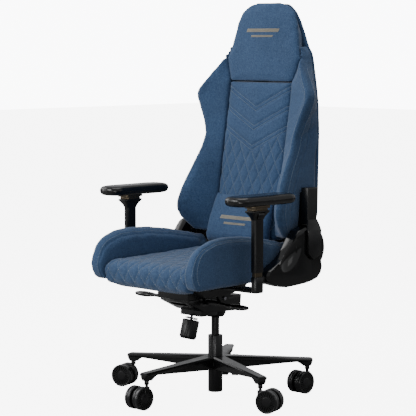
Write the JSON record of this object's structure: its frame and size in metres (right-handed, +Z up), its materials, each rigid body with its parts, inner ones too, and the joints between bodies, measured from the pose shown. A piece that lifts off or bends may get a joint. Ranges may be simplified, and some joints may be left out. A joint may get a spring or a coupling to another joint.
{
  "type": "gaming chair",
  "caption": "High-backed bucket-seat gaming chair in woven fabric, with reclining back, lumbar pillow, adjustable armrests, gas lift and a star base on twin-wheel casters.",
  "frame": {"origin": "on the floor, at the centre of the chair's footprint", "axes": "+Z up, the sitter faces -Y, and +X is the sitter's left"},
  "size_m": [0.7718, 0.734, 1.347],
  "materials": {
    "powder_coated_metal": "satin",
    "black_cast_aluminium": "satin",
    "bare_steel": "satin",
    "satin_plastic": "satin",
    "gloss_plastic": "gloss",
    "wheel_plastic": "gloss",
    "woven_fabric": "matte",
    "arm_pad_foam": "satin",
    "bronze_metal": "satin"
  },
  "bodies": {
    "base": {"star_base": "black_cast_aluminium", "gas_lift_column": "powder_coated_metal", "gas_lift_guide": "satin_plastic"},
    "lift_rod": {"gas_lift_rod": "bare_steel"},
    "lift": {"gas_lift_cylinder": "powder_coated_metal", "tilt_housing": "black_cast_aluminium", "tilt_shaft": "bare_steel", "tension_spring": "bare_steel"},
    "seat": {"seat_plate": "powder_coated_metal", "seat_pan": "satin_plastic", "seat_cushion": "woven_fabric", "seat_bolster_left": "woven_fabric", "seat_bolster_right": "woven_fabric", "recliner_bracket_left": "powder_coated_metal", "recliner_bracket_right": "powder_coated_metal", "recliner_cover_left": "gloss_plastic", "recliner_cover_right": "gloss_plastic", "arm_bracket_left": "powder_coated_metal", "arm_bracket_right": "powder_coated_metal"},
    "backrest": {"back_shell": "woven_fabric", "back_cushion": "woven_fabric", "head_cushion": "woven_fabric", "back_wing_left": "woven_fabric", "back_wing_right": "woven_fabric", "lumbar_pillow": "woven_fabric", "back_base_panel": "satin_plastic", "back_bracket_left": "powder_coated_metal", "back_bracket_right": "powder_coated_metal", "back_bracket_cover_left": "satin_plastic", "back_bracket_cover_right": "satin_plastic"},
    "tension_knob": {"tension_knob": "satin_plastic"},
    "height_lever": {"height_lever": "gloss_plastic"},
    "tilt_lever": {"tilt_lever": "gloss_plastic"},
    "recline_lever": {"recliner_rod": "bare_steel", "recline_lever": "gloss_plastic"},
    "arm_post_left": {"arm_sleeve_left": "satin_plastic"},
    "arm_trigger_left": {"arm_trigger_left": "gloss_plastic"},
    "arm_swivel_left": {"arm_swivel_plate_left": "bronze_metal"},
    "arm_slide_left": {"arm_slide_plate_left": "bronze_metal"},
    "arm_pad_left": {"arm_pad_left": "arm_pad_foam"},
    "arm_post_right": {"arm_sleeve_right": "satin_plastic"},
    "arm_trigger_right": {"arm_trigger_right": "gloss_plastic"},
    "arm_swivel_right": {"arm_swivel_plate_right": "bronze_metal"},
    "arm_slide_right": {"arm_slide_plate_right": "bronze_metal"},
    "arm_pad_right": {"arm_pad_right": "arm_pad_foam"},
    "caster_1": {"caster_1_housing": "gloss_plastic"},
    "caster_1_wheel_a": {"caster_1_wheel_a": "wheel_plastic"},
    "caster_1_wheel_b": {"caster_1_wheel_b": "wheel_plastic"},
    "caster_2": {"caster_2_housing": "gloss_plastic"},
    "caster_2_wheel_a": {"caster_2_wheel_a": "wheel_plastic"},
    "caster_2_wheel_b": {"caster_2_wheel_b": "wheel_plastic"},
    "caster_3": {"caster_3_housing": "gloss_plastic"},
    "caster_3_wheel_a": {"caster_3_wheel_a": "wheel_plastic"},
    "caster_3_wheel_b": {"caster_3_wheel_b": "wheel_plastic"},
    "caster_4": {"caster_4_housing": "gloss_plastic"},
    "caster_4_wheel_a": {"caster_4_wheel_a": "wheel_plastic"},
    "caster_4_wheel_b": {"caster_4_wheel_b": "wheel_plastic"},
    "caster_5": {"caster_5_housing": "gloss_plastic"},
    "caster_5_wheel_a": {"caster_5_wheel_a": "wheel_plastic"},
    "caster_5_wheel_b": {"caster_5_wheel_b": "wheel_plastic"}
  },
  "joints": [
    {"name": "seat_swivel", "type": "hinge", "parent": "base", "child": "lift_rod", "pos_m": [0, 0.029, 0.1], "axis": [0, 0, 1], "continuous": true},
    {"name": "seat_height", "type": "slide", "parent": "lift_rod", "child": "lift", "axis": [0, 0, 1], "range_m": [-0.06, 0]},
    {"name": "seat_tilt", "type": "hinge", "parent": "lift", "child": "seat", "pos_m": [0, -0.001, 0.344], "axis": [-1, 0, 0], "range_deg": [0, 12], "stiffness_Nm_per_rad": 120, "springref_deg": -25.78},
    {"name": "backrest_recline", "type": "hinge", "parent": "seat", "child": "backrest", "pos_m": [0, 0.199, 0.515], "axis": [-1, 0, 0], "range_deg": [-5, 55]},
    {"name": "tension_knob_turn", "type": "hinge", "parent": "lift", "child": "tension_knob", "pos_m": [0, -0.096, 0.241], "axis": [0, 0.2756, 0.9613], "continuous": true},
    {"name": "height_lever_lift", "type": "hinge", "parent": "lift", "child": "height_lever", "pos_m": [-0.054, -0.091, 0.341], "axis": [0, 1, 0], "range_deg": [0, 8], "stiffness_Nm_per_rad": 8, "springref_deg": -11.46},
    {"name": "tilt_lever_lift", "type": "hinge", "parent": "lift", "child": "tilt_lever", "pos_m": [0.054, -0.091, 0.341], "axis": [0, -1, 0], "range_deg": [0, 8]},
    {"name": "recline_lever_lift", "type": "hinge", "parent": "seat", "child": "recline_lever", "pos_m": [0, 0.199, 0.515], "axis": [-1, 0, 0], "range_deg": [0, 25], "stiffness_Nm_per_rad": 2, "springref_deg": -20.05},
    {"name": "arm_height_left", "type": "slide", "parent": "seat", "child": "arm_post_left", "axis": [0, 0, 1], "range_m": [-0.015, 0.055]},
    {"name": "arm_trigger_left", "type": "hinge", "parent": "arm_post_left", "child": "arm_trigger_left", "pos_m": [0.321, -0.085, 0.655], "axis": [0, 1, 0], "range_deg": [0, 9], "stiffness_Nm_per_rad": 0.4, "springref_deg": -17.19},
    {"name": "arm_swivel_left", "type": "hinge", "parent": "arm_post_left", "child": "arm_swivel_left", "pos_m": [0.305, -0.085, 0.669], "axis": [0, 0, 1], "range_deg": [-20, 20]},
    {"name": "arm_width_left", "type": "slide", "parent": "arm_swivel_left", "child": "arm_slide_left", "axis": [-1, 0, 0], "range_m": [-0.012, 0.012]},
    {"name": "arm_depth_left", "type": "slide", "parent": "arm_slide_left", "child": "arm_pad_left", "axis": [0, 1, 0], "range_m": [-0.025, 0.025]},
    {"name": "arm_height_right", "type": "slide", "parent": "seat", "child": "arm_post_right", "axis": [0, 0, 1], "range_m": [-0.015, 0.055]},
    {"name": "arm_trigger_right", "type": "hinge", "parent": "arm_post_right", "child": "arm_trigger_right", "pos_m": [-0.321, -0.085, 0.655], "axis": [0, -1, 0], "range_deg": [0, 9], "stiffness_Nm_per_rad": 0.4, "springref_deg": -17.19},
    {"name": "arm_swivel_right", "type": "hinge", "parent": "arm_post_right", "child": "arm_swivel_right", "pos_m": [-0.305, -0.085, 0.669], "axis": [0, 0, -1], "range_deg": [-20, 20]},
    {"name": "arm_width_right", "type": "slide", "parent": "arm_swivel_right", "child": "arm_slide_right", "axis": [1, 0, 0], "range_m": [-0.012, 0.012]},
    {"name": "arm_depth_right", "type": "slide", "parent": "arm_slide_right", "child": "arm_pad_right", "axis": [0, 1, 0], "range_m": [-0.025, 0.025]},
    {"name": "caster_1_swivel", "type": "hinge", "parent": "base", "child": "caster_1", "pos_m": [0, -0.294, 0.09], "axis": [0, 0, 1], "continuous": true},
    {"name": "caster_1_roll_a", "type": "hinge", "parent": "caster_1", "child": "caster_1_wheel_a", "pos_m": [0, -0.328, 0.039], "axis": [1, 0, 0], "continuous": true},
    {"name": "caster_1_roll_b", "type": "hinge", "parent": "caster_1", "child": "caster_1_wheel_b", "pos_m": [0, -0.328, 0.039], "axis": [1, 0, 0], "continuous": true},
    {"name": "caster_2_swivel", "type": "hinge", "parent": "base", "child": "caster_2", "pos_m": [0.30719, -0.07081, 0.09], "axis": [0, 0, 1], "continuous": true},
    {"name": "caster_2_roll_a", "type": "hinge", "parent": "caster_2", "child": "caster_2_wheel_a", "pos_m": [0.33953, -0.06031, 0.039], "axis": [-0.309, 0.9511, 0], "continuous": true},
    {"name": "caster_2_roll_b", "type": "hinge", "parent": "caster_2", "child": "caster_2_wheel_b", "pos_m": [0.33953, -0.06031, 0.039], "axis": [-0.309, 0.9511, 0], "continuous": true},
    {"name": "caster_3_swivel", "type": "hinge", "parent": "base", "child": "caster_3", "pos_m": [0.18985, 0.29031, 0.09], "axis": [0, 0, 1], "continuous": true},
    {"name": "caster_3_roll_a", "type": "hinge", "parent": "caster_3", "child": "caster_3_wheel_a", "pos_m": [0.18985, 0.25631, 0.039], "axis": [1, 0, 0], "continuous": true},
    {"name": "caster_3_roll_b", "type": "hinge", "parent": "caster_3", "child": "caster_3_wheel_b", "pos_m": [0.18985, 0.25631, 0.039], "axis": [1, 0, 0], "continuous": true},
    {"name": "caster_4_swivel", "type": "hinge", "parent": "base", "child": "caster_4", "pos_m": [-0.18985, 0.29031, 0.09], "axis": [0, 0, 1], "continuous": true},
    {"name": "caster_4_roll_a", "type": "hinge", "parent": "caster_4", "child": "caster_4_wheel_a", "pos_m": [-0.20984, 0.31782, 0.039], "axis": [-0.809, -0.5878, 0], "continuous": true},
    {"name": "caster_4_roll_b", "type": "hinge", "parent": "caster_4", "child": "caster_4_wheel_b", "pos_m": [-0.20984, 0.31782, 0.039], "axis": [-0.809, -0.5878, 0], "continuous": true},
    {"name": "caster_5_swivel", "type": "hinge", "parent": "base", "child": "caster_5", "pos_m": [-0.30719, -0.07081, 0.09], "axis": [0, 0, 1], "continuous": true},
    {"name": "caster_5_roll_a", "type": "hinge", "parent": "caster_5", "child": "caster_5_wheel_a", "pos_m": [-0.33953, -0.08132, 0.039], "axis": [0.309, -0.9511, 0], "continuous": true},
    {"name": "caster_5_roll_b", "type": "hinge", "parent": "caster_5", "child": "caster_5_wheel_b", "pos_m": [-0.33953, -0.08132, 0.039], "axis": [0.309, -0.9511, 0], "continuous": true}
  ]
}
